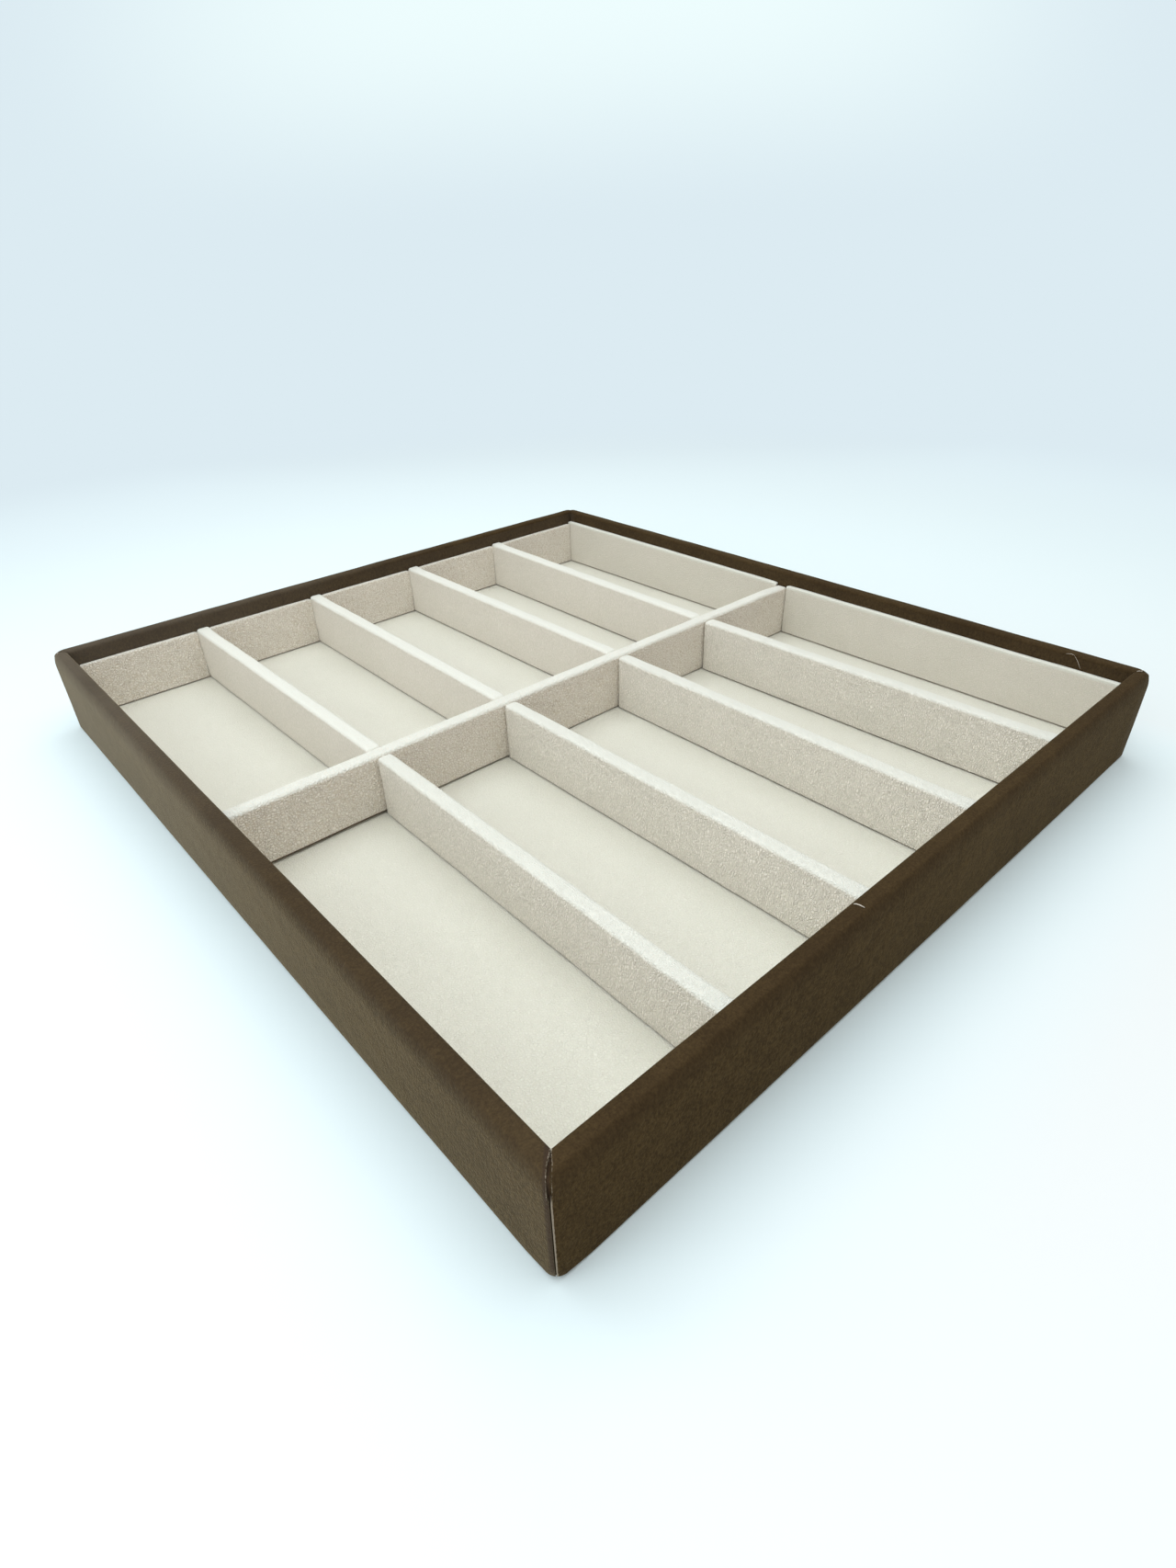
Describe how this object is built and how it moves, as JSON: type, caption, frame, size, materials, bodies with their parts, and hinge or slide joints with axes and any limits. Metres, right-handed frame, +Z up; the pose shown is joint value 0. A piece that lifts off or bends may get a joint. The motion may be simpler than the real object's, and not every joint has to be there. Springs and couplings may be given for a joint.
{
  "type": "glasses display tray",
  "caption": "Shallow open tray with suede-covered walls and leatherette-covered dividers that part it into two rows of long pockets for folded glasses.",
  "frame": {"origin": "middle of the underside, on the surface that the tray stands on", "axes": "+X to the right along the spine, +Y to the back along the short dividers, +Z up"},
  "size_m": [0.316, 0.35, 0.0384],
  "materials": {
    "suede": "matt dark brown suede cloth with a short nap",
    "leatherette": "cream leatherette with a fine pebbled grain, low sheen",
    "board": "fine brown fibreboard, unfinished",
    "grey_card": "grey card, unfinished",
    "base_paper": "dark brown lining paper, matt"
  },
  "bodies": {
    "root": {"wall_board_front": "board", "wall_board_right": "board", "wall_board_back": "board", "wall_board_left": "board", "wall_wrap_front": "suede", "wall_wrap_right": "suede", "wall_wrap_back": "suede", "wall_wrap_left": "suede", "underside_paper": "base_paper", "base_board": "board", "floor_card": "grey_card", "floor_cover": "leatherette", "spine_core": "board", "spine_cover": "leatherette", "front_divider_core_1": "board", "front_divider_core_2": "board", "front_divider_core_3": "board", "front_divider_core_4": "board", "front_divider_cover_1": "leatherette", "front_divider_cover_2": "leatherette", "front_divider_cover_3": "leatherette", "front_divider_cover_4": "leatherette", "back_divider_core_1": "board", "back_divider_core_2": "board", "back_divider_core_3": "board", "back_divider_core_4": "board", "back_divider_cover_1": "leatherette", "back_divider_cover_2": "leatherette", "back_divider_cover_3": "leatherette", "back_divider_cover_4": "leatherette", "lining_card_front_1": "grey_card", "lining_card_front_2": "grey_card", "lining_card_front_3": "grey_card", "lining_card_front_4": "grey_card", "lining_card_front_5": "grey_card", "lining_card_right_1": "grey_card", "lining_card_right_2": "grey_card", "lining_card_back_1": "grey_card", "lining_card_back_2": "grey_card", "lining_card_back_3": "grey_card", "lining_card_back_4": "grey_card", "lining_card_back_5": "grey_card", "lining_card_left_1": "grey_card", "lining_card_left_2": "grey_card", "lining_skin_front_1": "leatherette", "lining_skin_front_2": "leatherette", "lining_skin_front_3": "leatherette", "lining_skin_front_4": "leatherette", "lining_skin_front_5": "leatherette", "lining_skin_right_1": "leatherette", "lining_skin_right_2": "leatherette", "lining_skin_back_1": "leatherette", "lining_skin_back_2": "leatherette", "lining_skin_back_3": "leatherette", "lining_skin_back_4": "leatherette", "lining_skin_back_5": "leatherette", "lining_skin_left_1": "leatherette", "lining_skin_left_2": "leatherette"}
  },
  "joints": []
}
